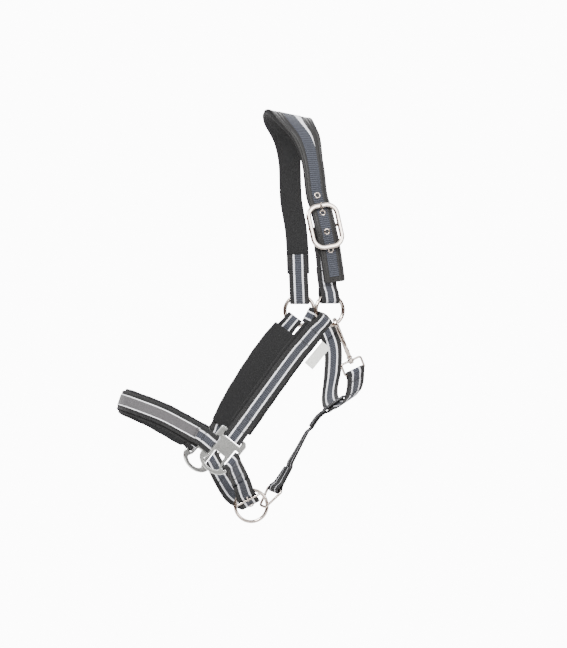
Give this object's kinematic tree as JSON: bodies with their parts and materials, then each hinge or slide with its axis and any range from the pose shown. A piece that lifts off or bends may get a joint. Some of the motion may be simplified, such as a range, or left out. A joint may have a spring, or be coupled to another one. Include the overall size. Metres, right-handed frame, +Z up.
{
  "type": "headcollar",
  "caption": "Webbing headcollar for a horse, with a padded crown, cheekpieces and noseband, metal rings and plates, a buckle, and a snap hook on the throat strap.",
  "frame": {"origin": "middle of the crown's inner face, where it rests on the horse's poll", "axes": "+Z up the head, +X towards the neck, +Y towards the horse's right side"},
  "size_m": [0.3233, 0.2078, 0.5506],
  "materials": {
    "webbing": "ribbed nylon webbing, black edges, blue-grey centre, two white lines",
    "crown_band": "ribbed blue-grey webbing",
    "padding": "soft black padding, matt",
    "crown_cover": "smooth dark textile, stitched lengthwise",
    "tape": "fine grey tape with thin white edges",
    "label": "plain off-white woven label",
    "plate": "satin cast plate with a bright bevel",
    "fittings": "nickel plated, polished",
    "eyelets": "nickel plated, polished"
  },
  "bodies": {
    "root": {"crown_lining": "padding", "crown_cover": "crown_cover", "crown_webbing": "crown_band", "crown_eyelet_1": "eyelets", "crown_eyelet_2": "eyelets", "crown_eyelet_3": "eyelets", "crown_eyelet_4": "eyelets", "chin_eyelet_1": "eyelets", "chin_eyelet_2": "eyelets", "crown_end_webbing": "webbing", "hanger_webbing": "webbing", "cheek_webbing_left": "webbing", "cheek_webbing_right": "webbing", "cheek_pad_left": "padding", "cheek_pad_right": "padding", "label_tab": "label", "side_casting_left": "plate", "side_casting_right": "plate", "noseband_webbing": "webbing", "noseband_pad": "padding", "noseband_tape": "tape", "chin_strap_left": "webbing", "chin_strap_right": "webbing", "snap_eye": "fittings", "throat_strap": "webbing", "jaw_strap": "webbing"},
    "crown_buckle": {"crown_buckle_frame": "fittings"},
    "crown_tongue": {"crown_buckle_tongue": "fittings"},
    "ring_left": {"upper_ring_left": "fittings"},
    "ring_right": {"upper_ring_right": "fittings"},
    "snap": {"snap_body": "fittings", "snap_pin": "fittings", "snap_spring": "fittings"},
    "gate": {"snap_gate": "fittings"},
    "chin_ring": {"chin_ring": "fittings"},
    "chin_tongue": {"chin_tongue": "fittings"},
    "jaw_link": {"jaw_link": "fittings"}
  },
  "joints": [
    {"name": "crown_buckle_rock", "type": "hinge", "parent": "root", "child": "crown_buckle", "pos_m": [0.0314, -0.087, -0.1452], "axis": [0.9797, 0.1, 0.1739], "range_deg": [-1.5, 0.6]},
    {"name": "crown_tongue_lift", "type": "hinge", "parent": "crown_buckle", "child": "crown_tongue", "pos_m": [0.0314, -0.087, -0.1452], "axis": [0.9797, 0.1, 0.1739], "range_deg": [0, 0.6]},
    {"name": "ring_left_spin", "type": "hinge", "parent": "root", "child": "ring_left", "pos_m": [0.038, -0.094, -0.2548], "axis": [0.222, -0.975, 0], "continuous": true},
    {"name": "ring_right_spin", "type": "hinge", "parent": "root", "child": "ring_right", "pos_m": [0.038, 0.094, -0.2548], "axis": [0.222, 0.975, 0], "continuous": true},
    {"name": "snap_swivel", "type": "hinge", "parent": "root", "child": "snap", "pos_m": [0.067, -0.088, -0.3189], "axis": [-0.3861, -0.0761, 0.9193], "range_deg": [0, 40]},
    {"name": "gate_open", "type": "hinge", "parent": "snap", "child": "gate", "pos_m": [0.06148, -0.09468, -0.30872], "axis": [-0.9102, 0.1936, -0.3662], "range_deg": [0, 14], "stiffness_Nm_per_rad": 0.1, "springref_deg": -11.46},
    {"name": "chin_ring_tilt", "type": "hinge", "parent": "root", "child": "chin_ring", "pos_m": [-0.06053, -0.01197, -0.49557], "axis": [0.8686, -0.1849, 0.4598], "range_deg": [-1, 0.6]},
    {"name": "chin_tongue_swing", "type": "hinge", "parent": "chin_ring", "child": "chin_tongue", "pos_m": [-0.06053, -0.01197, -0.49557], "axis": [0.8686, -0.1849, 0.4598], "range_deg": [0, 2]},
    {"name": "jaw_link_swing", "type": "hinge", "parent": "root", "child": "jaw_link", "pos_m": [-0.0185, -0.01473, -0.49247], "axis": [0.4428, -0.8687, -0.2219], "range_deg": [-1.5, 1.5]}
  ]
}
